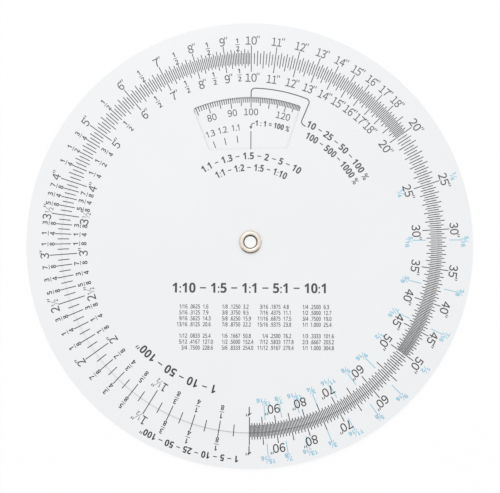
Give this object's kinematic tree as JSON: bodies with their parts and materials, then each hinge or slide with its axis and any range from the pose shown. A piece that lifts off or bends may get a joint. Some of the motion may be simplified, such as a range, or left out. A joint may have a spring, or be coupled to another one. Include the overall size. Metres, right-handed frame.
{
  "type": "proportional scale wheel",
  "caption": "Flat circular proportion calculator: a graduated dial with a window turns on a larger graduated base disc about a hollow eyelet rivet.",
  "frame": {"origin": "on the pivot axis, at the lowest point of the eyelet's rolled end, on which the part rests", "axes": "+Z along the pivot axis, out of the printed face; +Y from the pivot to the 10 inch and 100 percent marks; +X to the right of the reader"},
  "size_m": [0.1588, 0.1588, 0.0029],
  "materials": {
    "base_plastic": "white opaque sheet plastic with a fine matte grain",
    "dial_plastic": "white opaque sheet plastic with a fine matte grain",
    "eyelet_metal": "nickel-plated brass, drawn and rolled, soft shine",
    "black_print": "thin layer of dark grey screen-printing ink",
    "blue_print": "thin layer of pale blue screen-printing ink"
  },
  "bodies": {
    "base": {"base_disc": "base_plastic", "eyelet": "eyelet_metal", "base_inch_scale": "black_print", "base_fraction_lines": "blue_print", "percent_ring": "black_print", "reduction_ring": "black_print"},
    "dial": {"dial_disc": "dial_plastic", "dial_inch_scale": "black_print", "dial_fraction_lines": "blue_print", "index_line": "black_print"}
  },
  "joints": [
    {"name": "dial_turn", "type": "hinge", "parent": "base", "child": "dial", "pos_m": [0, 0, 0.0016], "axis": [0, 0, 1], "continuous": true}
  ]
}
